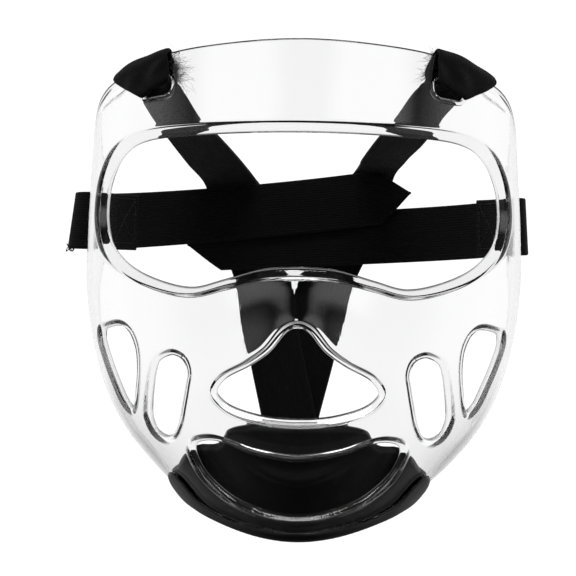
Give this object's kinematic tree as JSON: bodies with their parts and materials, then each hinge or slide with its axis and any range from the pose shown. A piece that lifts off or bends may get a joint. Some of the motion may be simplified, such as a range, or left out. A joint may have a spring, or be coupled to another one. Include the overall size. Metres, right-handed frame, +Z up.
{
  "type": "clear face guard with chin pad and head straps",
  "caption": "Clear moulded contact-sport face guard with an eye opening, nose vent and mouth opening, a soft chin pad and hook-and-loop webbing straps round and over the head.",
  "frame": {"origin": "middle of the chin pad's inner face, where the wearer's chin sits", "axes": "+Z up, the front faces -Y, +X is to the right seen from the front"},
  "size_m": [0.2026, 0.1891, 0.2047],
  "materials": {
    "clear_plastic": "clear moulded polycarbonate, polished",
    "black_foam": "soft moulded foam with a satin skin",
    "black_webbing": "matte hook-and-loop webbing"
  },
  "bodies": {
    "root": {"face_shield": "clear_plastic", "chin_pad": "black_foam", "left_side_strap": "black_webbing", "right_side_strap": "black_webbing", "left_top_strap": "black_webbing", "right_top_strap": "black_webbing"}
  },
  "joints": []
}
